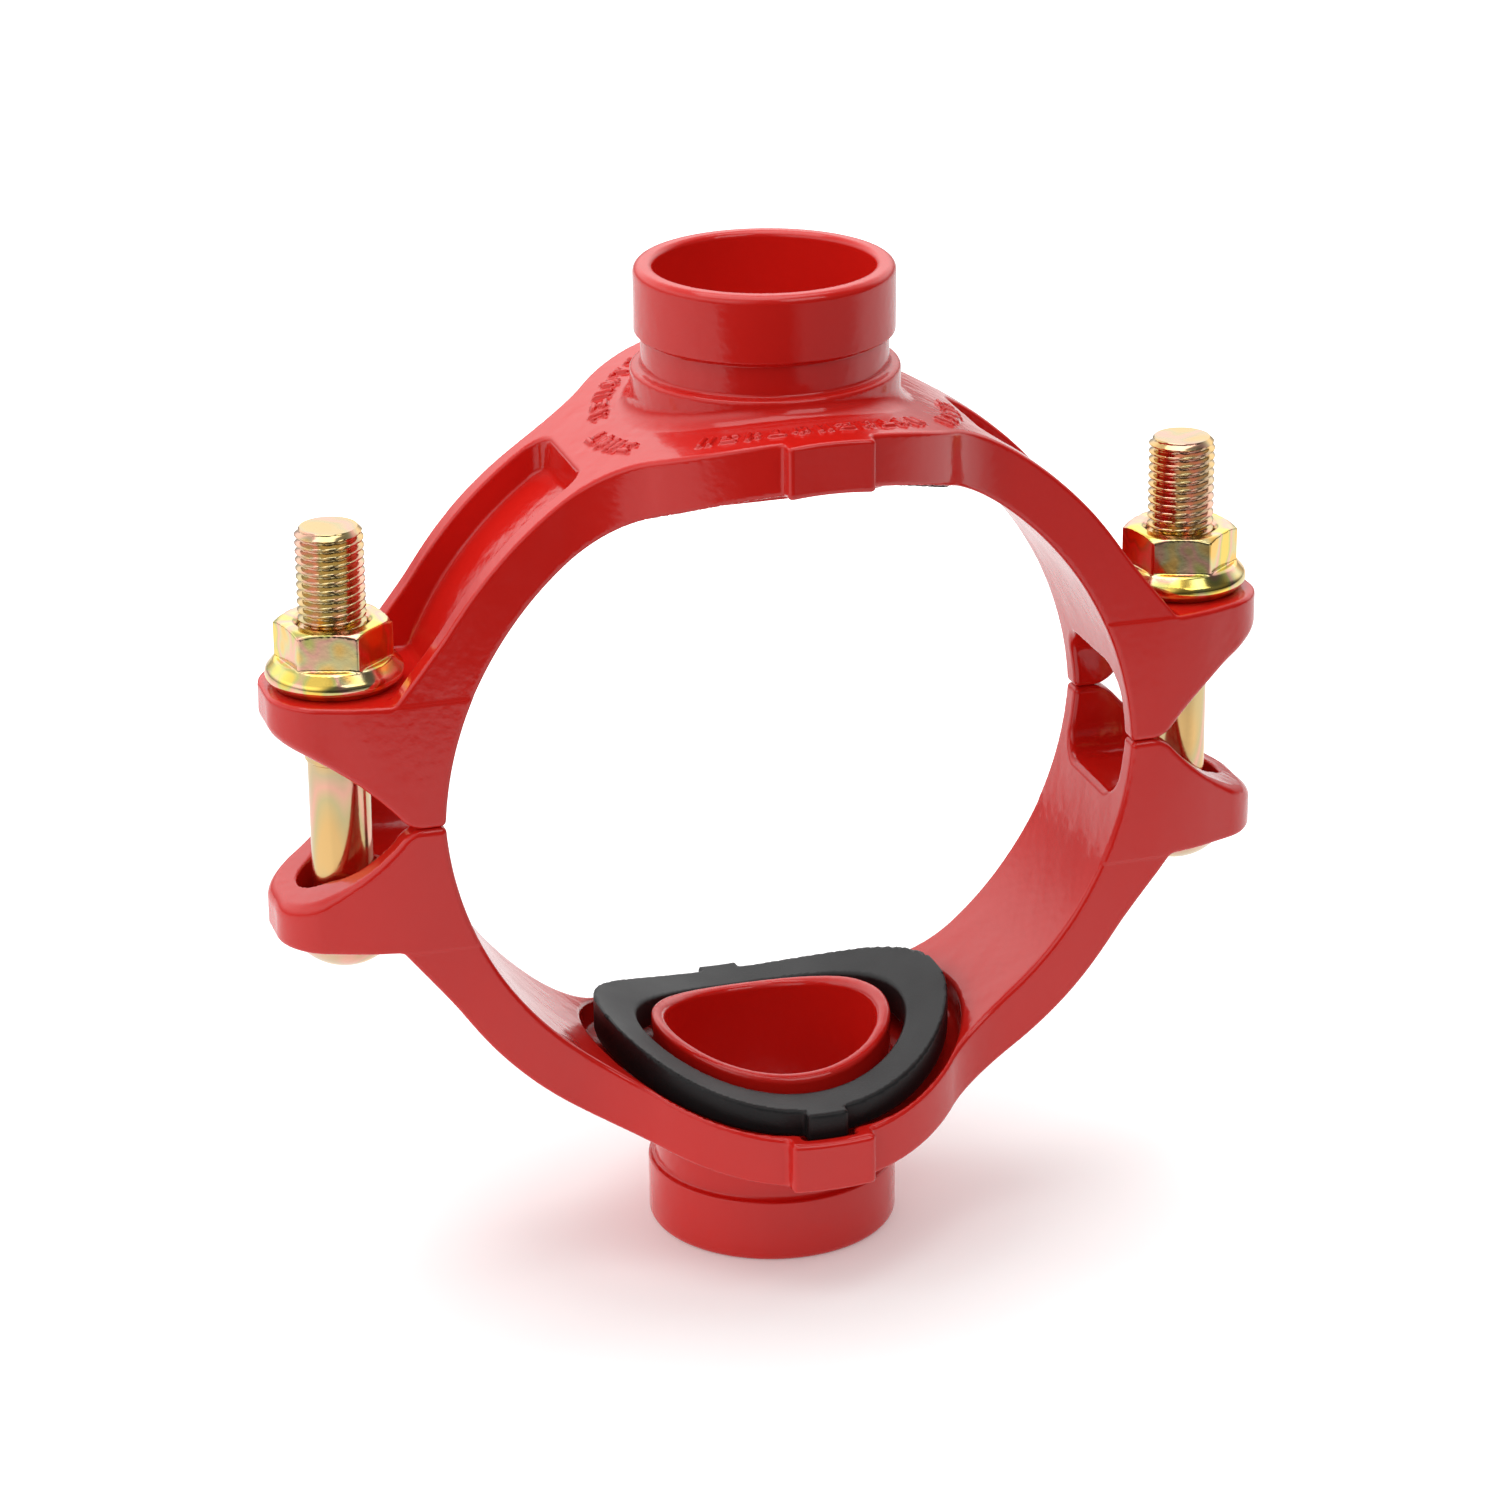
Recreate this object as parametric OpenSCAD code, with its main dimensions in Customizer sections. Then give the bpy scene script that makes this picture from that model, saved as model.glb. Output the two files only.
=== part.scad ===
// Mechanical cross for a grooved or plain steel pipe: two identical saddle castings bolt round
// the run pipe, and each carries one grooved outlet sealed to the pipe by a saddle gasket.
// Frame: origin at the centre of the run pipe, +Z along the upper outlet, +Y along the run pipe,
// X across the bolts. Millimetres.

/* [Outlet] */
// Outside diameter of the grooved outlet
outlet_od = 60.3; // [59:0.1:61.5]
// Bore of the outlet
outlet_bore = 50.8; // [44:0.1:53]
// Distance from the run centre to the end of each outlet
outlet_reach = 120; // [116:0.5:130]
// Length of the plain land outside the groove
land_len = 15.9; // [14:0.1:17]
// Width of the groove
groove_w = 7.95; // [7:0.05:9]
// Diameter at the bottom of the groove
groove_d = 57.15; // [56:0.05:58.5]

/* [Saddle ring] */
// Inside radius of the saddle
saddle_r = 83.75; // [83:0.05:85]
// How far the centre of each saddle arc lies behind the parting face
arc_back = 4.2; // [3:0.1:5]
// Thickness from the inside of the saddle to the edge of the outer flanges
rim_t = 12.45; // [11:0.05:14]
// Thickness of the web between the two flanges of an arm
web_t = 5.75; // [5:0.05:7]
// Width of the arms along the run
arm_w = 44.8; // [42:0.1:47]
// Thickness of each arm flange
flange_t = 6; // [5:0.1:7]
// Radius of the round crown under the outlet
crown_r = 47.5; // [46.5:0.1:48]
// Radius of the corners where the crown runs into the arms
crown_fillet_r = 25; // [15:0.5:30]

/* [Gasket] */
// Distance from the saddle centre to the middle of the gasket face, with the gasket pressed home
gasket_face_r = 82.6; // [81.8:0.1:83]
// Moulded radius of the gasket face before it is clamped, so that its ends stand proud
gasket_free_r = 72; // [68:0.5:82.6]
// Thickness of the gasket at its middle
gasket_t = 6.8; // [6:0.1:6.8]
// Outer radius of the gasket seen along the outlet
gasket_r = 42.8; // [41:0.1:43.3]
// Radius of the opening in the gasket
gasket_hole_r = 32.5; // [31:0.1:34]
// Width of the two locating tabs
tab_w = 10; // [8:0.5:11]
// Reach of the tabs from the outlet axis
tab_reach = 45.5; // [44.5:0.1:46]
// How far the lower gasket stands above its seat in the pocket
lower_lift = 4.1; // [0:0.1:4.4]

/* [Bolts] */
// Distance of each bolt from the run centre
bolt_x = 103.6; // [102:0.1:105]
// Thread diameter
bolt_d = 16; // [15.8:0.05:16]
// Length under the head
bolt_len = 98; // [90:0.1:110]
// Diameter of the plain shank, the size from which the thread is rolled
shank_d = 14.4; // [14:0.1:15]
// Plain shank below the thread
shank_len = 41.7; // [40:0.1:50]
// Hexagon across flats
nut_af = 24; // [23:0.1:24]
// Height of the nut
nut_h = 15.2; // [12:0.1:16]

/* [Lugs] */
// Height of the nut seat above the parting face
seat_z = 30.3; // [30:0.1:34]
// Outer end of the lug
lug_end = 121.2; // [120:0.1:123]
// Radius of the curve at the lug end
lug_end_r = 25; // [22:0.5:30]
// Distance from the run centre at which the sides of the lug begin to taper
taper_x = 97; // [93:0.5:100]
// Angle of the taper
taper_angle = 20; // [15:1:25]
// Depth of the metal under the nut
pad_t = 14; // [12:0.5:15]
// Outer edge of the flat parting face
parting_x = 92; // [91:0.5:94]

/* [Hidden] */
$fn = 96;

rim_r = saddle_r + rim_t;
web_r = saddle_r + web_t;
crown_z = rim_r - arc_back;
long = 400;              // longer than any part, for cutting tools
lug_from = 60;           // a lug and its cup are drawn from here, inside the saddle bore
touch = 0.05;            // gap left between pieces that rest on each other

// gasket pocket in the crown
pocket_gap = 0.2;        // clearance behind the gasket
pocket_r = 46;
pocket_y = 44.2;
notch_reach = 47;
bump_w = 20.5;           // outside bump that covers each tab notch
bump_reach = 50.5;

// locating collar that enters the hole in the run pipe
collar_r = 29;
collar_tip_r = 72;

// outlet neck
neck_r = 31.2;
neck_foot = 1.5;
rim_round = 1.5;

// cup in each lug round the bolt
cup_wall = 6.2;
cup_top = seat_z - pad_t;

// the mouth of each lug is cut by a large circle seen from the side
mouth_r = 60;
mouth_x = parting_x + 47.9;
mouth_z = -36.1;

// where the edge of an arm flange leaves its arc and runs down to the nut seat
flare_from = 58;         // degrees from the outlet axis
flare_x = parting_x + 3.56;

// bolt neck and hole are oval, long way across the run
hole_r = bolt_d / 2 + 0.6;
neck_half = bolt_d / 2 + 0.25;
oval_shift = 2.2;
bolt_neck_h = 8;
head_r = 13.3;
head_h = 9.3;
thread_r = bolt_d / 2 - 0.1;
nut_bore_r = bolt_d / 2;
nut_flange_r = 16;
nut_foot_r = 14.1;       // the flange is relieved below its rim
nut_rim = [2, 3.7];      // lower and upper edge of the rim above the seat
nut_step = [13.6, 6.5];  // radius and height of the flat ring round the foot of the hexagon
nut_turn = [-18, -20];   // degrees from a corner on +X, left and right

// a cylinder lying along the run, about the centre of the upper saddle arc
module along_run(r, w = long) {
    translate([0, 0, -arc_back]) rotate([90, 0, 0]) cylinder(r = r, h = w, center = true);
}

// arc-shaped wall between two radii about the saddle centre
module shell(r_in, r_out) {
    difference() {
        along_run(r_out);
        along_run(r_in, long + 2);
    }
}

// a box standing on the parting face, centred on the outlet axis
module block(x, y, z) {
    translate([-x / 2, -y / 2, 0]) cube([x, y, z]);
}

// fills the inside corner between the crown circle and one edge of an arm
module crown_corner() {
    half = arm_w / 2;
    centre_y = half + crown_fillet_r;
    centre_x = sqrt(pow(crown_r + crown_fillet_r, 2) - pow(centre_y, 2));
    difference() {
        polygon([[0, 0], [centre_x, 0], [centre_x, centre_y]]);
        translate([centre_x, centre_y]) circle(crown_fillet_r);
    }
}

// outline of crown, arms and tab bumps seen along the outlet
module crown_plan() {
    circle(crown_r);
    square([bump_w, 2 * bump_reach], center = true);
    for (sx = [0, 1], sy = [0, 1]) mirror([sx, 0]) mirror([0, sy]) crown_corner();
}

module arms_and_crown() {
    intersection() {
        shell(saddle_r, rim_r);
        union() {
            linear_extrude(height = outlet_reach) crown_plan();
            block(2 * rim_r, arm_w, outlet_reach);
        }
    }
}

// wedge that carries the edge of an arm from its arc down to the end of the nut seat
module arm_flare() {
    from_x = rim_r * sin(flare_from);
    from_z = rim_r * cos(flare_from) - arc_back;
    rotate([90, 0, 0]) linear_extrude(height = arm_w, center = true)
        polygon([[from_x - 3, from_z], [from_x, from_z], [flare_x, seat_z - 1],
                 [web_r - 6, seat_z - 1]]);
}

// channel down the outside of one arm, open onto the nut seat
module arm_channel() {
    channel_w = arm_w - 2 * flange_t;
    start_x = crown_r + 1;
    corner_r = 5;
    intersection() {
        shell(web_r, rim_r + 12);
        translate([0, 0, seat_z]) linear_extrude(height = outlet_reach) union() {
            translate([start_x + corner_r, -channel_w / 2]) square([100, channel_w]);
            translate([start_x, corner_r - channel_w / 2])
                square([100, channel_w - 2 * corner_r]);
            for (s = [-1, 1])
                translate([start_x + corner_r, s * (channel_w / 2 - corner_r)]) circle(corner_r);
        }
    }
}

// outline of one lug seen along the bolt, drawn smaller by the inset for the cup
module lug_plan(inset) {
    half = arm_w / 2 - inset;
    corner_x = taper_x - inset * tan(taper_angle / 2);
    tip_y = arm_w / 2 - inset / cos(taper_angle) - (lug_end - taper_x) * tan(taper_angle);
    centre_x = lug_end - lug_end_r;
    intersection() {
        polygon([[lug_from, -half], [corner_x, -half], [lug_end, -tip_y],
                 [lug_end, tip_y], [corner_x, half], [lug_from, half]]);
        union() {
            translate([centre_x, 0]) circle(lug_end_r - inset);
            translate([lug_from, -half]) square([centre_x - lug_from, 2 * half]);
        }
    }
}

module lug_body() {
    difference() {
        linear_extrude(height = seat_z) lug_plan(0);
        along_run(saddle_r);
    }
}

// cuts the sloped mouth of one lug, leaving a flat parting face inside it
module lug_mouth() {
    translate([mouth_x, 0, mouth_z]) rotate([90, 0, 0])
        cylinder(r = mouth_r, h = arm_w + 10, center = true);
}

// cavity round the bolt, open below and through the inside of the saddle
module lug_cup() {
    translate([0, 0, -1]) linear_extrude(height = cup_top + 1) lug_plan(cup_wall);
}

// oval bar, used for the bolt hole and for the bolt's neck
module oval(r, h) {
    for (s = [-1, 1]) translate([s * oval_shift, 0, 0]) cylinder(r = r, h = h);
    translate([-oval_shift, -r, 0]) cube([2 * oval_shift, 2 * r, h]);
}

module lug_hole() {
    translate([bolt_x, 0, cup_top - 1]) oval(hole_r, pad_t + 2);
}

// grooved neck of the outlet, standing in the crown
module outlet_neck() {
    land_r = outlet_od / 2;
    groove_top = outlet_reach - land_len;
    groove_bottom = groove_top - groove_w;
    rotate_extrude() polygon([
        [0, saddle_r - arc_back + 1], [neck_r + neck_foot, saddle_r - arc_back + 1],
        [neck_r + neck_foot, crown_z - 0.5], [neck_r, crown_z + neck_foot],
        [neck_r, groove_bottom], [groove_d / 2, groove_bottom],
        [groove_d / 2, groove_top], [land_r, groove_top],
        [land_r, outlet_reach - rim_round], [land_r - rim_round, outlet_reach],
        [0, outlet_reach]]);
}

module collar() {
    difference() {
        translate([0, 0, 60]) cylinder(r = collar_r, h = saddle_r - 60 + 2);
        rotate([90, 0, 0]) cylinder(r = collar_tip_r, h = long, center = true);
    }
}

// everything inside the casting's pocket, made a little larger than the gasket
module gasket_pocket() {
    notch_w = tab_w + 3;
    floor_r = gasket_face_r + gasket_t + pocket_gap;
    intersection() {
        shell(saddle_r - 20, floor_r);
        union() {
            intersection() {
                cylinder(r = pocket_r, h = outlet_reach);
                block(long, 2 * pocket_y, outlet_reach);
            }
            block(notch_w, 2 * notch_reach, outlet_reach);
        }
    }
}

module housing() {
    difference() {
        union() {
            difference() {
                union() {
                    arms_and_crown();
                    for (s = [0, 1]) mirror([s, 0, 0]) {
                        lug_body();
                        arm_flare();
                    }
                    outlet_neck();
                }
                gasket_pocket();
            }
            collar();
        }
        translate([0, 0, 50]) cylinder(d = outlet_bore, h = outlet_reach);
        for (s = [0, 1]) mirror([s, 0, 0]) {
            arm_channel();
            lug_mouth();
            lug_cup();
            lug_hole();
        }
        translate([-long / 2, -long / 2, touch / 2 - long]) cube(long);
    }
}

// saddle ring that lies in the pocket, with two locating tabs, pressed home
module gasket() {
    difference() {
        intersection() {
            along_run(gasket_face_r + gasket_t);
            union() {
                cylinder(r = gasket_r, h = outlet_reach);
                block(tab_w, 2 * tab_reach, outlet_reach);
            }
        }
        translate([0, 0, gasket_face_r - gasket_free_r]) along_run(gasket_free_r, long + 2);
        cylinder(r = gasket_hole_r, h = outlet_reach);
    }
}

// oval-neck track bolt with a domed head below; the thread is drawn at crest size
module bolt(x) {
    under_head = -seat_z - touch;
    chamfer = 1.5;
    shank_r = shank_d / 2;
    top = under_head + bolt_len;
    dome_r = (head_r * head_r + head_h * head_h) / (2 * head_h);
    translate([x, 0, 0]) {
        rotate_extrude() polygon([
            [0, under_head - 1], [shank_r, under_head - 1], [shank_r, under_head + shank_len],
            [thread_r, under_head + shank_len], [thread_r, top - chamfer],
            [thread_r - chamfer, top], [0, top]]);
        translate([0, 0, under_head]) oval(neck_half, bolt_neck_h);
        intersection() {
            translate([0, 0, under_head - head_h + dome_r]) sphere(dome_r);
            translate([0, 0, under_head - 2 * head_h]) cylinder(r = head_r + 1, h = 2 * head_h);
        }
    }
}

// hexagon nut with a round flange, resting on the upper seat
module nut(x, turn) {
    hex_r = nut_af / sqrt(3);
    translate([x, 0, seat_z + touch]) difference() {
        union() {
            rotate_extrude() polygon([
                [0, 0], [nut_foot_r, 0], [nut_flange_r, nut_rim[0]], [nut_flange_r, nut_rim[1]],
                nut_step, [0, nut_step[1]]]);
            rotate([0, 0, turn]) cylinder(r = hex_r, h = nut_h, $fn = 6);
        }
        translate([0, 0, -1]) cylinder(r = nut_bore_r, h = nut_h + 2);
    }
}

module housing_upper() { color("firebrick") housing(); }
module housing_lower() { color("firebrick") rotate([0, 180, 0]) housing(); }
module gasket_upper() { color("dimgray") gasket(); }
module gasket_lower() {
    color("dimgray") translate([0, 0, lower_lift]) rotate([0, 180, 0]) gasket();
}
module bolt_left() { color("goldenrod") bolt(-bolt_x); }
module bolt_right() { color("goldenrod") bolt(bolt_x); }
module nut_left() { color("goldenrod") nut(-bolt_x, nut_turn[0]); }
module nut_right() { color("goldenrod") nut(bolt_x, nut_turn[1]); }

housing_upper();
housing_lower();
gasket_upper();
gasket_lower();
bolt_left();
bolt_right();
nut_left();
nut_right();
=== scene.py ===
"""Looks of a mechanical cross coupling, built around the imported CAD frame.

Two red enamelled castings, two rubber saddle gaskets, two zinc plated track bolts and two flange
nuts. Castings, gaskets and nuts are written as smooth distance fields in millimetres and meshed
here; the bolts are swept row by row so that their threads stay crisp.
"""

import math

import bpy
import numpy as np
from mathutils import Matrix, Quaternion, Vector


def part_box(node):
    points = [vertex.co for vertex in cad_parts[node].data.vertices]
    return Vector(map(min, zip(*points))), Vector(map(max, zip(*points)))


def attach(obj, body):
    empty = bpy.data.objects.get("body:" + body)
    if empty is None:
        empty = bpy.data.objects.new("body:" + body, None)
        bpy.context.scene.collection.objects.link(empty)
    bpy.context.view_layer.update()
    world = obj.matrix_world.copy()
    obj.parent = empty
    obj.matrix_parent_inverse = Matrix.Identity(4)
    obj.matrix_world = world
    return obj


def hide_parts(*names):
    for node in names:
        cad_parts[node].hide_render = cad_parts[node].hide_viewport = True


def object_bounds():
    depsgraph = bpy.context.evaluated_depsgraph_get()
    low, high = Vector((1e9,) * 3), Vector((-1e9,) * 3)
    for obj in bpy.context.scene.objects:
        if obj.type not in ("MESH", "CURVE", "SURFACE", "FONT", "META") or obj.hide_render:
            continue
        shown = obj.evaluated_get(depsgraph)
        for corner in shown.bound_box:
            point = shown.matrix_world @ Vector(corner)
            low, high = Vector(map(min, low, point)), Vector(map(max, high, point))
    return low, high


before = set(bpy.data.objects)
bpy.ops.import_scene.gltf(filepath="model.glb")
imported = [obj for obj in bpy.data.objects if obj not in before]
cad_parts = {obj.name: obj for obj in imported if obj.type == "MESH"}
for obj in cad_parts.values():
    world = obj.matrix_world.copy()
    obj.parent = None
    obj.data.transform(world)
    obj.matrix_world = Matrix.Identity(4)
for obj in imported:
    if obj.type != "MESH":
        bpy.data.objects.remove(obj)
cad_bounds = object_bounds()
MM = 0.001

# ---------------------------------------------------------------- driving sizes, millimetres


def cad_box(node):
    low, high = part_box(node)
    return np.array(low) / MM, np.array(high) / MM


HOUSING_LOW, HOUSING_HIGH = cad_box("housing_upper")
OUTLET_REACH = HOUSING_HIGH[2]
LUG_END = HOUSING_HIGH[0]
BUMP_REACH = HOUSING_HIGH[1]
PARTING_Z = HOUSING_LOW[2]
NUT_LOW, NUT_HIGH = cad_box("nut_right")
SEAT_Z = NUT_LOW[2] - 0.05
NUT_H = NUT_HIGH[2] - NUT_LOW[2]
BOLT_X = (NUT_LOW[0] + NUT_HIGH[0]) / 2
BOLT_LOW, BOLT_HIGH = cad_box("bolt_right")

ARC_BACK = 4.2  # how far the centre of the saddle arc lies behind the parting face
SADDLE_R = 83.75
WEB_R = 89.5
RIM_R = 96.2
FLARE_NORMAL = math.radians(51.35)  # the straight run's normal, from the outlet axis
FLARE_OFF = 95.55  # its distance from the saddle centre
ARM_HALF = 22.4
CROWN_R = 47.5
CROWN_FILLET = 25.0
BUMP_HALF = 10.25
CHANNEL_HALF = 16.4
CHANNEL_START = 48.5
CHANNEL_CORNER = 5.0
POCKET_R = 46.0
POCKET_Y = 44.2
POCKET_FLOOR_R = 89.6
NOTCH_HALF = 6.5
NOTCH_REACH = 47.0
COLLAR_R = 29.0
COLLAR_TIP_R = 72.0
BORE_R = 25.4
NECK_R = 31.2
LAND_R = 30.15
GROOVE_R = 28.575
GROOVE_LOW = OUTLET_REACH - 23.85
GROOVE_TOP = OUTLET_REACH - 15.9
MOUTH_R = 60.0
MOUTH_X = 139.9
MOUTH_Z = -36.1
LUG_CORNER_R = 9.0
LUG_TAPER_X = 97.0  # where the sides of a lug begin to taper towards its round end
LUG_TAPER = math.radians(20.0)
CUP_WALL = 6.2
CUP_TOP = SEAT_Z - 14.0
LEDGE = 0.35  # how far the side of a lug stands out from the rail above it
HOLE_R = 8.6
OVAL_SHIFT = 2.2

# radii of the cast edges and fillets
PLAN_EDGE = 1.0
RAIL_EDGE = 0.9  # also the fillet between rail and web
SEAT_FILLET = 1.5
BUMP_EDGE = 1.2
OUTLET_FILLET = 3.5
SADDLE_EDGE = 1.3
POCKET_CORNER = 2.0
POCKET_EDGE = 0.9
POCKET_FILLET = 1.2
COLLAR_EDGE = 1.7
COLLAR_FILLET = 1.5
BORE_EDGE = 1.5
MOUTH_FILLET = 2.6
MOUTH_EDGE = 1.4
MOUTH_EDGE_MORE = 1.2  # the edge grows by this towards the end of the lug
CUP_ROUND = 7.0
CUP_EDGE = 1.5
HOLE_EDGE = 0.8
FACE_BACK = 0.5  # how far the meshed lug end lies inside the CAD box

# ---------------------------------------------------------------- distance field helpers


def r_max(a, b, r):
    """Intersection of two fields with a convex edge of radius r."""
    u, v = np.maximum(a + r, 0), np.maximum(b + r, 0)
    return np.minimum(-r, np.maximum(a, b)) + np.sqrt(u * u + v * v)


def r_min(a, b, r):
    """Union of two fields with a concave fillet of radius r."""
    return -r_max(-a, -b, r)


def cut(a, b, r):
    """Field a with b taken away, leaving an edge of radius r."""
    return r_max(a, -b, r)


def length(a, b):
    return np.sqrt(a * a + b * b)


def surface_net(field, low, high, step):
    """Quads on the zero level of a field: one vertex per crossed cell."""
    low = np.array(low, float)
    count = np.ceil((np.array(high, float) - low) / step).astype(int) + 1
    axes = [(low[a] + step * np.arange(count[a])).astype(np.float32) for a in range(3)]
    grid = field(axes[0][:, None, None], axes[1][None, :, None], axes[2][None, None, :])
    inside = grid < 0
    total = np.zeros([n - 1 for n in inside.shape], np.int8)
    for i in (0, 1):
        for j in (0, 1):
            for k in (0, 1):
                total += inside[i : i + total.shape[0], j : j + total.shape[1], k : k + total.shape[2]]
    cells = np.argwhere((total > 0) & (total < 8))
    number = np.full(total.shape, -1, np.int64)
    number[tuple(cells.T)] = np.arange(len(cells))
    place, hits = np.zeros((len(cells), 3)), np.zeros(len(cells))
    for a in range(3):
        b, c = (a + 1) % 3, (a + 2) % 3
        for ob in (0, 1):
            for oc in (0, 1):
                start = cells.copy()
                start[:, b] += ob
                start[:, c] += oc
                stop = start.copy()
                stop[:, a] += 1
                f0, f1 = grid[tuple(start.T)], grid[tuple(stop.T)]
                crossed = (f0 < 0) != (f1 < 0)
                t = np.where(crossed, f0 / np.where(crossed, f0 - f1, 1), 0)
                place[crossed, a] += t[crossed]
                place[crossed, b] += ob
                place[crossed, c] += oc
                hits += crossed
    points = low + step * (cells + place / hits[:, None])
    quads = []
    for a in range(3):
        b, c = (a + 1) % 3, (a + 2) % 3
        first = np.take(inside, range(inside.shape[a] - 1), a)
        second = np.take(inside, range(1, inside.shape[a]), a)
        edges = np.argwhere(first != second)
        edges = edges[(edges[:, b] > 0) & (edges[:, c] > 0)]
        edges = edges[(edges[:, b] < inside.shape[b] - 1) & (edges[:, c] < inside.shape[c] - 1)]
        outward = first[tuple(edges.T)]
        ring = []
        for ob, oc in ((1, 1), (0, 1), (0, 0), (1, 0)):
            cell = edges.copy()
            cell[:, b] -= ob
            cell[:, c] -= oc
            ring.append(number[tuple(cell.T)])
        ring = np.stack(ring, 1)
        quads.append(np.where(outward[:, None], ring, ring[:, ::-1]))
    return points, np.concatenate(quads)


def gradient(field, p, reach=0.04):
    g = np.zeros_like(p)
    for a in range(3):
        q0, q1 = p.copy(), p.copy()
        q0[:, a] -= reach
        q1[:, a] += reach
        g[:, a] = (field(*q1.T) - field(*q0.T)) / (2 * reach)
    return g


def settle(field, points, quads, step, rounds=4):
    """Slides the vertices along the surface into even quads, then puts them exactly on it."""
    pairs = np.concatenate([quads[:, [i, (i + 1) % 4]] for i in range(4)])
    pairs = np.concatenate([pairs, pairs[:, ::-1]])
    degree = np.bincount(pairs[:, 0], minlength=len(points))
    for turn in range(rounds + 2):
        g = gradient(field, points)
        size = np.maximum((g * g).sum(1), 0.1)
        move = field(*points.T) / size
        points = points - g * np.clip(move, -step / 2, step / 2)[:, None]
        if turn < rounds:
            near = np.stack(
                [np.bincount(pairs[:, 0], points[pairs[:, 1], a], len(points)) for a in range(3)], 1
            )
            pull = (near / degree[:, None] - points) * 0.5
            n = g / np.sqrt(size)[:, None]
            points = points + pull - n * (pull * n).sum(1)[:, None]
    g = gradient(field, points)
    return points, g / np.maximum(np.linalg.norm(g, axis=1), 1e-6)[:, None]


def on_surface(field, points, rounds=2, most=0.2):
    """Points moved exactly on to the surface, and the surface's normals there."""
    for _ in range(rounds):
        g = gradient(field, points)
        move = field(*points.T) / np.maximum((g * g).sum(1), 0.1)
        points = points - g * np.clip(move, -most, most)[:, None]
    g = gradient(field, points)
    return points, g / np.maximum(np.linalg.norm(g, axis=1), 1e-6)[:, None]


def thin_out(points, quads, most):
    """The same surface in at most this many triangles, kept dense where it is tightly curved."""
    mesh = bpy.data.meshes.new("thin")
    mesh.from_pydata(points.tolist(), [], quads.tolist())
    obj = bpy.data.objects.new("thin", mesh)
    bpy.context.scene.collection.objects.link(obj)
    modifier = obj.modifiers.new("thin", "DECIMATE")
    modifier.ratio = min(1.0, most / (2 * len(quads)))
    modifier.use_collapse_triangulate = True
    done = obj.evaluated_get(bpy.context.evaluated_depsgraph_get()).to_mesh()
    kept = np.zeros(len(done.vertices) * 3)
    done.vertices.foreach_get("co", kept)
    corners = np.zeros(len(done.loops), np.int32)
    done.loops.foreach_get("vertex_index", corners)
    bpy.data.objects.remove(obj)
    bpy.data.meshes.remove(mesh)
    return kept.reshape(-1, 3), corners.reshape(-1, 3)


def mesh_object(name, points, faces, normals=None):
    """A smooth-shaded object from millimetre points."""
    mesh = bpy.data.meshes.new(name)
    mesh.from_pydata((points * MM).tolist(), [], faces.tolist() if hasattr(faces, "tolist") else faces)
    mesh.polygons.foreach_set("use_smooth", [True] * len(mesh.polygons))
    mesh.update()
    if normals is not None:
        mesh.normals_split_custom_set_from_vertices(normals.tolist())
    obj = bpy.data.objects.new(name, mesh)
    bpy.context.scene.collection.objects.link(obj)
    return obj


def half_turn(a):
    """Points or normals turned half a turn about the run, which makes the lower half."""
    return a * np.array([-1.0, 1.0, -1.0])


# ---------------------------------------------------------------- casting


def saddle_rho(x, z):
    return length(x, z + ARC_BACK)


def lug_field(ax, ay):
    """Straight sides, a taper and a flat end with round corners."""
    sides = ay - ARM_HALF
    taper = (ax - LUG_TAPER_X) * math.sin(LUG_TAPER) + sides * math.cos(LUG_TAPER)
    return r_max(r_max(sides, taper, 3.0), ax - LUG_END + FACE_BACK, LUG_CORNER_R)


def plan_field(ax, ay, r):
    """Crown, arms and lug ends seen along the outlet."""
    arm = lug_field(ax, ay)
    cy = ARM_HALF + CROWN_FILLET
    cx = math.sqrt((CROWN_R + CROWN_FILLET) ** 2 - cy**2)
    vx, vy = ax - cx, ay - cy
    in_cone = (vx < 0) & (vy < 0) & (vy * cx - vx * cy < 0)
    crown = np.where(in_cone, CROWN_FILLET - length(vx, vy), np.minimum(r - CROWN_R, arm))
    bump = r_max(ax - BUMP_HALF, ay - BUMP_REACH, BUMP_EDGE)
    return r_min(crown, bump, 1.0)


NECK_EDGE = 0.9
LAND_EDGE = 0.5
RIM_EDGE = 1.9
GROOVE_FILLET = 0.8


def outlet_field(r, z):
    """Grooved neck of the outlet, by radius and height."""
    neck = r_max(r - NECK_R, z - GROOVE_LOW, NECK_EDGE)
    core = r_max(r - GROOVE_R, z - OUTLET_REACH + 3, LAND_EDGE)
    land = r_max(r_max(r - LAND_R, GROOVE_TOP - z, LAND_EDGE), z - OUTLET_REACH, RIM_EDGE)
    return np.minimum(r_min(neck, core, GROOVE_FILLET), r_min(land, core, GROOVE_FILLET))


MARK_RISE = 0.85
MARK_STROKE = 0.68
MARK_EDGE = 0.5
MARK_RING_R, MARK_RING_HALF = 41.0, 7.0  # the marks all lie in this ring
FAR = 1e3
# rows of plain bars and pellets on the crown: first angle, last angle, radius, count
MARK_ROWS = ((-126, -52, 41.0, 11), (118, 168, 38.5, 7), (-176, -156, 41.5, 4), (-34, -4, 43.0, 5))
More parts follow.
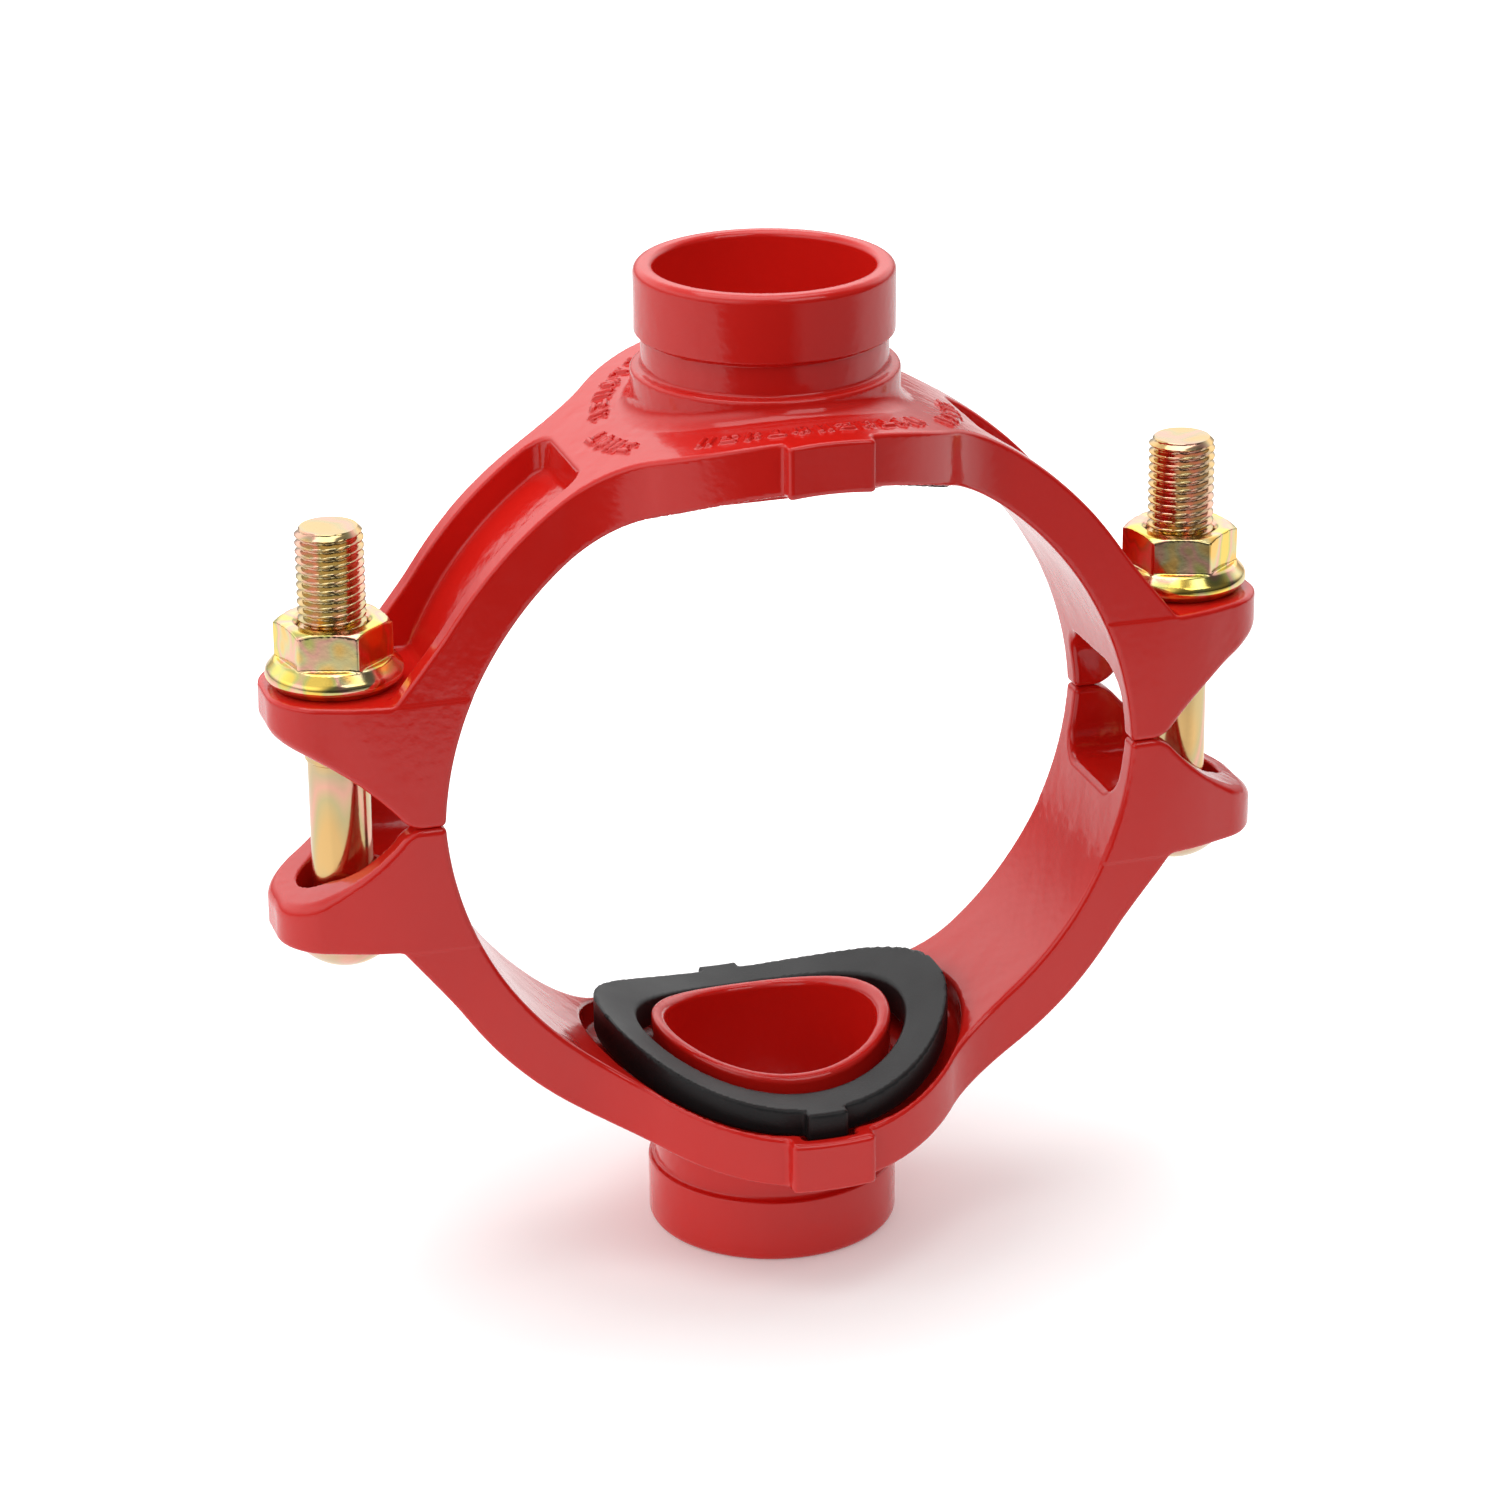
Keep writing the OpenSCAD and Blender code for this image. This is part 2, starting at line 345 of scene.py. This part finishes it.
# strokes of each mark: place outward and sideways, then half length outward and sideways
MARKS = (
    ((0.0, -1.1, 1.7, 0.0), (0.0, 1.1, 1.7, 0.0)),
    ((-1.3, 0.0, 0.0, 1.3), (1.3, 0.0, 0.0, 1.3), (0.0, 0.0, 0.0, 0.0)),
    ((0.0, -1.0, 1.8, 0.0), (1.2, 1.0, 0.0, 0.0), (-1.2, 1.0, 0.0, 0.0)),
    ((1.5, 0.0, 0.0, 1.4), (-0.7, 0.0, 1.0, 0.0)),
    ((0.0, -1.3, 0.9, 0.0), (0.0, 1.3, 0.9, 0.0), (0.0, 0.0, 1.8, 0.0)),
)


def cast_marks(x, y):
    """Plan outline of plain raised bars and pellets, which stand in for the cast characters."""
    x, y = np.broadcast_arrays(x, y)
    found = np.full(x.shape, FAR)
    ring = np.abs(length(x, y) - MARK_RING_R) < MARK_RING_HALF
    px, py = x[ring], y[ring]
    near = found[ring]
    count = 0
    for first, last, radius, number in MARK_ROWS:
        for i in range(number):
            turn = math.radians(first + (last - first) * i / (number - 1))
            c, s = math.cos(turn), math.sin(turn)
            outward = px * c + py * s - radius
            sideways = py * c - px * s
            for u, v, half_u, half_v in MARKS[count % len(MARKS)]:
                d = length(
                    np.maximum(np.abs(outward - u) - half_u, 0),
                    np.maximum(np.abs(sideways - v) - half_v, 0),
                )
                near = np.minimum(near, d - MARK_STROKE)
            count += 1
    found[ring] = near
    return found


def casting_field(x, y, z):
    """The upper casting: arms and crown, then everything cut out of it and added inside it."""
    ax, ay = np.abs(x), np.abs(y)
    r = length(x, y)
    rho = saddle_rho(x, z)
    # edge of the arm: an arc that opens into a straight run down to the nut seat
    turn = np.arctan2(ax, z + ARC_BACK) - FLARE_NORMAL
    spare = FLARE_OFF / np.cos(np.clip(turn, 0, 0.95)) - RIM_R
    rim = rho - RIM_R - 0.5 * (spare + np.sqrt(spare * spare + 0.16)) + 0.05
    channel = r_max(ay - CHANNEL_HALF, CHANNEL_START - ax, CHANNEL_CORNER)
    rails = r_max(rim, -channel, RAIL_EDGE)
    web = r_min(rho - WEB_R, z - SEAT_Z, SEAT_FILLET)
    body = r_min(rails, web, RAIL_EDGE)
    ledge = LEDGE * np.clip((z - SEAT_Z) / 0.8 + 0.5, 0, 1) * np.clip((ax - 70) / 10, 0, 1)
    body = r_max(body, plan_field(ax, ay, r) + ledge, PLAN_EDGE)
    marks = r_max(cast_marks(x, y), rho - RIM_R - MARK_RISE, MARK_EDGE)
    marks = np.maximum(marks, RIM_R - 3 - rho)
    body = r_min(body, marks, MARK_EDGE)
    body = r_min(body, outlet_field(r, z), OUTLET_FILLET)
    body = cut(body, rho - SADDLE_R, SADDLE_EDGE)
    # gasket pocket
    pocket = r_max(r - POCKET_R, ay - POCKET_Y, POCKET_CORNER)
    notch = r_max(ax - NOTCH_HALF, ay - NOTCH_REACH, 0.8)
    pocket = r_max(r_min(pocket, notch, 0.8), rho - POCKET_FLOOR_R, POCKET_FILLET)
    body = cut(body, pocket, POCKET_EDGE)
    # collar that enters the hole in the run pipe
    collar = r_max(r - COLLAR_R, COLLAR_TIP_R - length(x, z), COLLAR_EDGE)
    collar = np.maximum(collar, rho - (POCKET_FLOOR_R + 3))
    body = r_min(body, collar, COLLAR_FILLET)
    body = cut(body, r - BORE_R + 0 * z, BORE_EDGE)
    # lug mouth, parting face, cup and bolt hole
    mouth = length(ax - MOUTH_X, z - MOUTH_Z) - MOUTH_R
    under = r_max(PARTING_Z - z, -mouth, MOUTH_FILLET)
    body = r_max(body, under, MOUTH_EDGE + MOUTH_EDGE_MORE * np.clip((ax - 105) / 10, 0, 1))
    cup = lug_field(ax, ay) + CUP_WALL
    cup = np.maximum(r_max(cup, z - CUP_TOP, CUP_ROUND), 60 - ax)
    body = cut(body, cup, CUP_EDGE)
    hole = length(np.maximum(np.abs(ax - BOLT_X) - OVAL_SHIFT, 0), y) - HOLE_R
    return cut(body, hole + 0 * z, HOLE_EDGE)


def cast_ripple(x, y, z):
    """Faint unevenness of a sand casting under its paint, less on flat and machined faces."""
    slow = np.sin(x * 0.33 + 1.3 * np.sin(y * 0.21)) * np.sin(z * 0.29 + 0.8 * np.sin(x * 0.17))
    quick = np.sin(x * 1.13 + 1.7 * np.sin(z * 0.43)) * np.sin(y * 1.07 + 1.5 * np.sin(x * 0.51))
    calm = 0.25 + 0.75 * np.clip((ARM_HALF - np.abs(y)) / 4, 0, 1)
    calm = calm * np.clip((OUTLET_REACH - z) / 6, 0.1, 1)
    wave = 0.05 * slow * np.cos(y * 0.37 + 0.5)
    grit = 0.022 * quick * np.sin(z * 0.97 + 1.2 * np.sin(y * 0.39))
    return 0.02 + calm * (wave + grit)


def casting(x, y, z):
    return casting_field(x, y, z) + cast_ripple(x, y, z)


CASTING_FACES = 190_000
STEP = 0.7
pad = 2 * STEP
low = [-LUG_END - pad, -BUMP_REACH - pad, -pad]
high = [LUG_END + pad, BUMP_REACH + pad, OUTLET_REACH + pad]
points, quads = surface_net(casting, low, high, STEP)
points, normals = settle(casting, points, quads, STEP)
points, faces = thin_out(points, quads, CASTING_FACES)
points, normals = on_surface(casting, points)
print("casting", len(quads), len(faces))
upper = mesh_object("casting_upper", points, faces, normals)
lower = mesh_object("casting_lower", half_turn(points), faces, half_turn(normals))

# ---------------------------------------------------------------- gaskets

GASKET_FACE_R = 82.6
GASKET_FREE_R = 72.0  # the face is moulded tighter than the pipe, so the ends stand proud
GASKET_BACK_R = 89.4
GASKET_R = 42.8
GASKET_HOLE_R = 32.5
TAB_HALF = 5.0
TAB_REACH = 45.5


def gasket(x, y, z):
    ax, ay = np.abs(x), np.abs(y)
    r = length(x, y)
    rho = saddle_rho(x, z)
    plan = r_min(r - GASKET_R, r_max(ax - TAB_HALF, ay - TAB_REACH, 0.6), 0.5)
    ring = r_max(plan, GASKET_HOLE_R - r, 0.3)
    face = GASKET_FREE_R - length(x, z + ARC_BACK - (GASKET_FACE_R - GASKET_FREE_R))
    shell = np.maximum(face, rho - GASKET_BACK_R)
    return r_max(ring, shell, 0.8)


GASKET_STEP = 0.9
g_low, g_high = cad_box("gasket_upper")
g_points, g_quads = surface_net(gasket, g_low - 2, g_high + 2, GASKET_STEP)
g_points, g_normals = settle(gasket, g_points, g_quads, GASKET_STEP)
gasket_upper = mesh_object("saddle_gasket_upper", g_points, g_quads, g_normals)
lift = np.array([0, 0, cad_box("gasket_lower")[1][2] + g_low[2]])
gasket_lower = mesh_object("saddle_gasket_lower", half_turn(g_points) + lift, g_quads, half_turn(g_normals))
print("gasket", len(g_points), "lift", lift[2])

# ---------------------------------------------------------------- nuts

NUT_HALF_AF = 12.0
NUT_FLANGE_R = 16.0
NUT_BORE_R = 8.0
NUT_RIM_TOP = 3.7
NUT_STEP_R = 13.6
NUT_STEP_H = 6.5
NUT_FOOT_R = 14.1
NUT_CHAMFER_R = 12.1
NUT_SINK = 1.1
NUT_CORNER = 0.45
NUT_EDGE = 0.3
FLANGE_EDGE = 0.5
NUT_TURN = {"left": -18.0, "right": -20.0}


def nut_field(turn):
    """A hexagon turned by so many degrees, on a coned flange, with a countersunk bore."""

    def field(x, y, z):
        r = length(x, y)
        h = z - NUT_LOW[2]
        hexagon = None
        for i in range(3):
            a = math.radians(turn + 30 + 60 * i)
            flat = np.abs(x * math.cos(a) + y * math.sin(a)) - NUT_HALF_AF
            hexagon = flat if hexagon is None else r_max(hexagon, flat, NUT_CORNER)
        hexagon = r_max(hexagon + 0 * z, h - NUT_H, NUT_EDGE)
        hexagon = r_max(hexagon, (r - NUT_CHAMFER_R) * 0.5 + (h - NUT_H) * 0.866, NUT_EDGE)
        slope = (NUT_STEP_H - NUT_RIM_TOP) / (NUT_FLANGE_R - NUT_STEP_R)
        cone = (h - NUT_RIM_TOP - (NUT_FLANGE_R - r) * slope) / math.hypot(1, slope)
        top = r_max(cone, h - NUT_STEP_H, FLANGE_EDGE)
        flange = r_max(r - NUT_FLANGE_R, top, FLANGE_EDGE)
        body = r_min(hexagon, flange, 0.35)
        under = (-h + np.maximum(r - NUT_FOOT_R, 0) * 1.05) * 0.69
        body = r_max(body, under, 0.4)
        sink = NUT_BORE_R + np.maximum(h - (NUT_H - NUT_SINK), 0)
        return r_max(body, sink - r, 0.25)

    return field


NUT_STEP = 0.45
span = NUT_FLANGE_R + 1
nuts = {}
for side, sign in (("left", -1), ("right", 1)):
    field = nut_field(NUT_TURN[side])
    n_points, n_quads = surface_net(
        field, [-span, -span, NUT_LOW[2] - 1], [span, span, NUT_HIGH[2] + 1], NUT_STEP
    )
    n_points, n_normals = settle(field, n_points, n_quads, NUT_STEP)
    nuts[side] = mesh_object(
        "flange_nut_" + side, n_points + np.array([sign * BOLT_X, 0, 0]), n_quads, n_normals
    )
print("nut", len(n_points))

# ---------------------------------------------------------------- bolts

PITCH = 2.0
THREAD_DEPTH = 1.15
CREST_R = 7.9
SHANK_R = 7.2
NECK_HALF = 8.25
HEAD_R = 13.3
HEAD_H = 9.3
HEAD_EDGE = 0.75
NECK_H = 7.0
TIP_CHAMFER = 1.3
ROWS_PER_PITCH = 14
SHANK_LEN = 41.7
THREAD_FROM = BOLT_LOW[2] + HEAD_H + SHANK_LEN


def oval_radius(angle, radius, shift):
    """Radius of an oval made of two half rounds that stand a shift either side of the centre."""
    s, c = np.abs(np.sin(angle)), np.abs(np.cos(angle))
    cap = shift * c + np.sqrt(np.maximum(radius**2 - (shift * s) ** 2, 0))
    flat = radius / np.maximum(s, 1e-6)
    return np.where(flat * c <= shift, flat, cap)


def bolt_rows(columns):
    """Heights and radii of every row of one bolt, from the bottom of the head to the tip."""
    angle = np.arange(columns) / columns * 2 * math.pi
    one = np.ones(columns)
    rows = []
    seat = BOLT_LOW[2] + HEAD_H
    dome_r = (HEAD_R**2 + HEAD_H**2) / (2 * HEAD_H)
    for t in np.linspace(0.04, 0.93, 16):
        rr = HEAD_R * t
        rows.append((seat - HEAD_H + dome_r - math.sqrt(dome_r**2 - rr**2), rr * one))
    for t in np.linspace(0, 1, 6):
        a = t * math.pi * 0.75 - math.pi / 4
        edge_r = HEAD_R - HEAD_EDGE + HEAD_EDGE * math.cos(a)
        rows.append((seat - HEAD_EDGE + HEAD_EDGE * math.sin(a), edge_r * one))
    neck = oval_radius(angle, NECK_HALF, OVAL_SHIFT)
    for t in (0.0, 0.5, 0.9, 1.0):
        rows.append((seat, ((HEAD_R - 1.1) * (1 - t) + (neck + 0.4) * t)))
    rows.append((seat + 0.4, neck))
    for z in (2.0, 5.0, NECK_H):
        rows.append((seat + z, neck))
    for t in (0.15, 0.4, 0.7, 1.0):
        a = t * math.pi / 2
        rows.append((seat + NECK_H + math.sin(a), neck - (neck - SHANK_R) * (1 - math.cos(a))))
    for z in np.linspace(seat + 9, THREAD_FROM - 1.2, 12):
        rows.append((z, SHANK_R * one))
    steps = int((BOLT_HIGH[2] - THREAD_FROM + 1.0) / PITCH * ROWS_PER_PITCH)
    for z in np.linspace(THREAD_FROM - 1.0, BOLT_HIGH[2], steps):
        u = (z / PITCH - angle / (2 * math.pi)) % 1.0
        t = np.abs(u - 0.5) * 2
        thread = CREST_R - THREAD_DEPTH * np.clip((t - 0.14) / 0.70, 0, 1)
        start = np.clip((z - THREAD_FROM) / 0.5, 0, 1)
        runout = np.clip((z - THREAD_FROM - 2.5) / 2.5, 0, 1)
        full = (CREST_R - 0.15) * (1 - runout) + thread * runout
        radius = SHANK_R * (1 - start) + full * start
        tip = CREST_R - np.maximum(z - (BOLT_HIGH[2] - TIP_CHAMFER), 0)
        rows.append((z, np.minimum(radius, tip)))
    last = rows[-1][1]
    for t in (0.93, 0.6, 0.3):
        rows.append((BOLT_HIGH[2], last * t))
    return angle, rows


def bolt_mesh(name, x, columns=72):
    angle, rows = bolt_rows(columns)
    c, s = np.cos(angle), np.sin(angle)
    pts = [np.stack([x + r * c, r * s, np.full(columns, z)], 1) for z, r in rows]
    pts = np.concatenate(pts + [np.array([[x, 0, BOLT_LOW[2]], [x, 0, BOLT_HIGH[2]]])])
    n = len(rows)
    i = np.arange(columns)
    j = (i + 1) % columns
    faces = []
    for k in range(n - 1):
        a = k * columns
        faces += np.stack([a + i, a + j, a + columns + j, a + columns + i], 1).tolist()
    bottom, top = n * columns, n * columns + 1
    faces += np.stack([j, i, np.full(columns, bottom)], 1).tolist()
    a = (n - 1) * columns
    faces += np.stack([a + i, a + j, np.full(columns, top)], 1).tolist()
    obj = mesh_object(name, pts, faces)
    obj.data.set_sharp_from_angle(angle=math.radians(38))
    return obj


bolts = {
    "left": bolt_mesh("track_bolt_left", -BOLT_X),
    "right": bolt_mesh("track_bolt_right", BOLT_X),
}

# ---------------------------------------------------------------- materials


class Nodes:
    """Short way to write a node material."""

    def __init__(self, name):
        self.material = bpy.data.materials.new(name)
        self.material.use_nodes = True
        self.tree = self.material.node_tree
        self.shader = self.tree.nodes["Principled BSDF"]
        self.place = self.add("ShaderNodeTexCoord").outputs["Object"]

    def add(self, kind, inputs=None, **settings):
        node = self.tree.nodes.new(kind)
        for key, value in settings.items():
            setattr(node, key, value)
        for key, value in (inputs or {}).items():
            if isinstance(value, bpy.types.NodeSocket):
                self.tree.links.new(value, node.inputs[key])
            else:
                node.inputs[key].default_value = value
        return node

    def noise(self, scale, detail=3.0, roughness=0.5, vector=None):
        node = self.add(
            "ShaderNodeTexNoise",
            {"Vector": vector or self.place, "Scale": scale, "Detail": detail, "Roughness": roughness},
        )
        return node.outputs["Fac"]

    def ramp(self, factor, stops, interpolation="LINEAR"):
        node = self.add("ShaderNodeValToRGB", {"Fac": factor})
        ramp = node.color_ramp
        ramp.interpolation = interpolation
        while len(ramp.elements) < len(stops):
            ramp.elements.new(0.5)
        for element, (position, colour) in zip(ramp.elements, stops):
            element.position = position
            element.color = (*colour, 1.0)
        return node.outputs["Color"]

    def mix(self, factor, a, b, blend="MIX"):
        node = self.add("ShaderNodeMix", data_type="RGBA", blend_type=blend)
        for socket, value in ((node.inputs[0], factor), (node.inputs[6], a), (node.inputs[7], b)):
            if isinstance(value, bpy.types.NodeSocket):
                self.tree.links.new(value, socket)
            elif isinstance(value, tuple):
                socket.default_value = (*value, 1.0)
            else:
                socket.default_value = value
        return node.outputs[2]

    def span(self, value, low, high, to_low, to_high):
        node = self.add(
            "ShaderNodeMapRange",
            {"Value": value, "From Min": low, "From Max": high, "To Min": to_low, "To Max": to_high},
        )
        return node.outputs["Result"]

    def math(self, operation, *values):
        node = self.add("ShaderNodeMath", dict(enumerate(values)), operation=operation)
        return node.outputs["Value"]

    def bump(self, height, strength, distance, normal=None):
        inputs = {"Height": height, "Strength": strength, "Distance": distance}
        if normal is not None:
            inputs["Normal"] = normal
        return self.add("ShaderNodeBump", inputs).outputs["Normal"]

    def set(self, **inputs):
        for key, value in inputs.items():
            socket = self.shader.inputs[key.replace("_", " ")]
            if isinstance(value, bpy.types.NodeSocket):
                self.tree.links.new(value, socket)
            else:
                socket.default_value = value


def red_enamel():
    m = Nodes("red_enamel")
    deep, bright = (0.60, 0.011, 0.007), (0.66, 0.014, 0.009)
    colour = m.mix(m.noise(35.0, 4.0), deep, bright)
    peel = m.bump(m.noise(520.0, 2.0), 0.10, 0.0004)
    waves = m.bump(m.noise(130.0, 2.0), 0.06, 0.0010, peel)
    m.set(
        Base_Color=colour,
        Roughness=m.span(m.noise(90.0, 3.0), 0.3, 0.7, 0.10, 0.17),
        Normal=waves,
        IOR=1.5,
    )
    return m.material


def black_rubber():
    m = Nodes("black_rubber")
    colour = m.mix(m.noise(60.0, 5.0), (0.006, 0.006, 0.0065), (0.015, 0.0145, 0.015))
    grain = m.bump(m.noise(2600.0, 2.0), 0.25, 0.0002)
    m.set(
        Base_Color=colour,
        Roughness=m.span(m.noise(45.0, 4.0), 0.3, 0.7, 0.34, 0.46),
        Specular_IOR_Level=0.28,
        Normal=grain,
    )
    return m.material


def yellow_zinc(name, patch, stretch, tints):
    """Chromate over zinc: patches of a few millimetres that drift between the tints."""
    m = Nodes(name)
    along = m.add("ShaderNodeMapping", {"Vector": m.place, "Scale": (1.0, 1.0, stretch)})
    drift = m.noise(patch, 1.0, 0.5, along.outputs["Vector"])
    stops = [(0.36 + 0.07 * i, tint) for i, tint in enumerate(tints)]
    scratch = m.bump(m.noise(700.0, 2.0), 0.05, 0.0002)
    m.set(
        Base_Color=m.ramp(drift, stops),
        Metallic=1.0,
        Roughness=m.span(m.noise(160.0, 3.0), 0.3, 0.7, 0.11, 0.19),
        Normal=scratch,
    )
    return m.material


NUT_TINTS = (
    (0.94, 0.66, 0.13),
    (0.62, 0.61, 0.20),
    (0.90, 0.47, 0.36),
    (0.72, 0.64, 0.32),
    (0.95, 0.58, 0.16),
)
# the same chromate patches as the nut's, but darker and pinker: painted shade and a painted reflection of
# the red casting around the bolt
BOLT_TINTS_SHADED = (
    (0.74, 0.47, 0.19),
    (0.57, 0.47, 0.24),
    (0.78, 0.42, 0.31),
    (0.58, 0.45, 0.27),
    (0.72, 0.46, 0.18),
)
enamel, rubber = red_enamel(), black_rubber()
nut_zinc = yellow_zinc("yellow_zinc_nut", 120.0, 0.8, NUT_TINTS)
bolt_zinc = yellow_zinc("yellow_zinc_bolt", 90.0, 0.3, BOLT_TINTS_SHADED)
pieces = [
    (upper, "upper_half", "housing_upper", "red_enamel", enamel),
    (lower, "lower_half", "housing_lower", "red_enamel", enamel),
    (gasket_upper, "upper_gasket", "gasket_upper", "black_rubber", rubber),
    (gasket_lower, "lower_gasket", "gasket_lower", "black_rubber", rubber),
    (bolts["left"], "left_bolt", "bolt_left", "yellow_zinc", bolt_zinc),
    (bolts["right"], "right_bolt", "bolt_right", "yellow_zinc", bolt_zinc),
    (nuts["left"], "left_nut", "nut_left", "yellow_zinc", nut_zinc),
    (nuts["right"], "right_nut", "nut_right", "yellow_zinc", nut_zinc),
]
for piece, body, node, slot, material in pieces:
    piece.data.materials.append(material)
    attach(piece, body)
    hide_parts(node)

# ---------------------------------------------------------------- stage, light and camera

floor_z = float(cad_bounds[0].z)
# the studio is bright behind, above and to the left, and dark in front and to the right;
# only reflections and light see that, and the camera sees a plain pale floor
BRIGHT_TURN = math.radians(-33.0)
bright = Vector((math.sin(BRIGHT_TURN), math.cos(BRIGHT_TURN), 0.0))
FLOOR_NEAR, FLOOR_FAR = 2.0, 5.0
FLOOR_WIDTH = 10.0
SHEET_END = -0.405
SHEET_BLUR = 0.018
bpy.ops.mesh.primitive_plane_add(size=1.0, location=(0, 0, floor_z))
floor = bpy.context.object
floor.name = "floor"
floor.scale = (FLOOR_WIDTH, FLOOR_NEAR + FLOOR_FAR, 1.0)
floor.rotation_euler.z = -BRIGHT_TURN
floor.location += bright * (FLOOR_FAR - FLOOR_NEAR) / 2
f = Nodes("pale_floor")
f_place = f.add("ShaderNodeNewGeometry").outputs["Position"]
f_axes = f.add("ShaderNodeSeparateXYZ", {"Vector": f_place})
# the pale sheet ends in front of the object; the bench beyond it is dark, less so to the right
f_slant = f.math("MULTIPLY_ADD", f_axes.outputs["X"], -0.1, f_axes.outputs["Y"])
f_sheet = f.span(f_slant, SHEET_END - SHEET_BLUR, SHEET_END + SHEET_BLUR, 0.0, 1.0)
f_bench = f.span(f_axes.outputs["X"], 0.08, 0.22, 0.03, 0.36)
# painted shade: for reflections and light the pale sheet is darker in front of the part, more so to the
# right, in both its colour and its glow; the camera still sees it pale
f_front_shade = f.span(f_axes.outputs["Y"], -0.28, -0.16, 0.68, 1.0)
f_front_right_shade = f.math("MAXIMUM", f_front_shade, f.span(f_axes.outputs["X"], 0.05, 0.25, 0.9, 0.68))
f_off_sheet = f.math("SUBTRACT", 1.0, f_sheet)
f_level = f.math("ADD", f.math("MULTIPLY", f_sheet, f_front_right_shade), f.math("MULTIPLY", f_off_sheet, f_bench))
# seen directly the floor is pale all over and, with a painted glow that grows away from the object, burns
# out to white there
f_seen = f.add("ShaderNodeLightPath").outputs["Is Camera Ray"]
f_level = f.math("MAXIMUM", f_level, f_seen)
f_reach = f.add("ShaderNodeVectorMath", {0: f_place, 1: (0.0, 0.0, floor_z)}, operation="DISTANCE")
f_far_glow = f.span(f_reach.outputs["Value"], 0.06, 0.32, 0.0, 0.7)
f_white = f.mix(f.noise(3.0), (0.80, 0.80, 0.80), (0.83, 0.83, 0.83))
# painted light: the floor glows though it is no lamp, faintly for reflections and light, which lifts the
# shadows and fills the part from below, and more strongly for the camera away from the object
f.set(
    Base_Color=f.mix(f_level, (0.0, 0.0, 0.0), f_white),
    Roughness=0.75,
    Emission_Color=(1.0, 1.0, 1.0, 1.0),
    Emission_Strength=f.math("MULTIPLY", f_level, f.math("MULTIPLY_ADD", f_seen, f_far_glow, 0.2)),
)
floor.data.materials.append(f.material)

world = bpy.data.worlds.new("studio")
bpy.context.scene.world = world
world.use_nodes = True
sky = world.node_tree
direction = sky.nodes.new("ShaderNodeTexCoord").outputs["Generated"]
dot = sky.nodes.new("ShaderNodeVectorMath")
dot.operation = "DOT_PRODUCT"
dot.inputs[1].default_value = bright
sky.links.new(direction, dot.inputs[0])
height = sky.nodes.new("ShaderNodeSeparateXYZ")
sky.links.new(direction, height.inputs["Vector"])


def sky_level(value, low, high, to_low, to_high):
    node = sky.nodes.new("ShaderNodeMapRange")
    node.interpolation_type = "SMOOTHSTEP"
    for key, number in (("From Min", low), ("From Max", high), ("To Min", to_low), ("To Max", to_high)):
        node.inputs[key].default_value = number
    sky.links.new(value, node.inputs["Value"])
    return node.outputs["Result"]


def sky_math(operation, a, b):
    node = sky.nodes.new("ShaderNodeMath")
    node.operation = operation
    sky.links.new(a, node.inputs[0])
    sky.links.new(b, node.inputs[1])
    return node.outputs["Value"]


# brightest a third of the way up, as under a tilted diffuser
side_level = sky_level(dot.outputs["Value"], -0.6, -0.1, 0.08, 0.86)
low_level = sky_level(height.outputs["Z"], 0.0, 0.35, 0.45, 1.75)
high_level = sky_level(height.outputs["Z"], 0.45, 0.8, 1.0, 0.55)
sky_level_all = sky_math("MULTIPLY", side_level, sky_math("MULTIPLY", low_level, high_level))
sky_seen = sky.nodes.new("ShaderNodeLightPath").outputs["Is Camera Ray"]
sky.links.new(sky_math("MAXIMUM", sky_level_all, sky_seen), sky.nodes["Background"].inputs["Strength"])
sky.nodes["Background"].inputs["Color"].default_value = (1.0, 1.0, 1.0, 1.0)


def softbox(name, place, aim, width, height, power):
    """A rectangular lamp, metres and watts."""
    light = bpy.data.lights.new(name, "AREA")
    light.shape = "RECTANGLE"
    light.size, light.size_y = width, height
    light.energy = power
    obj = bpy.data.objects.new(name, light)
    bpy.context.scene.collection.objects.link(obj)
    obj.location = place
    obj.rotation_euler = (Vector(aim) - Vector(place)).to_track_quat("-Z", "Y").to_euler()
    return obj


softbox("overhead", (-0.1, 0.1, 1.3), (0, 0, 0), 1.3, 1.1, 8.2)
softbox("front_top", (0.45, -1.15, 1.3), (0, 0, 0), 1.0, 0.8, 5.7)

CAMERA_AZIMUTH = math.radians(-16.94)
CAMERA_ELEVATION = math.radians(21.41)
CAMERA_ROLL = -0.01
CAMERA_DISTANCE = 1.1344
CAMERA_AIM = Vector((-0.00454, 0.0, 0.00087))  # from the centre of the part
CAMERA_LENS, CAMERA_SENSOR = 115.08, 36.0
centre = (cad_bounds[0] + cad_bounds[1]) / 2
target = centre + CAMERA_AIM
back = Vector(
    (
        math.sin(CAMERA_AZIMUTH) * math.cos(CAMERA_ELEVATION),
        -math.cos(CAMERA_AZIMUTH) * math.cos(CAMERA_ELEVATION),
        math.sin(CAMERA_ELEVATION),
    )
)
camera_data = bpy.data.cameras.new("camera")
camera_data.sensor_width = CAMERA_SENSOR
camera_data.lens = CAMERA_LENS
camera = bpy.data.objects.new("camera", camera_data)
bpy.context.scene.collection.objects.link(camera)
camera.location = target + back * CAMERA_DISTANCE
camera.rotation_mode = "QUATERNION"
camera.rotation_quaternion = (-back).to_track_quat("-Z", "Y") @ Quaternion((0, 0, 1), CAMERA_ROLL)
bpy.context.scene.camera = camera
bpy.context.scene.view_settings.view_transform = "Standard"
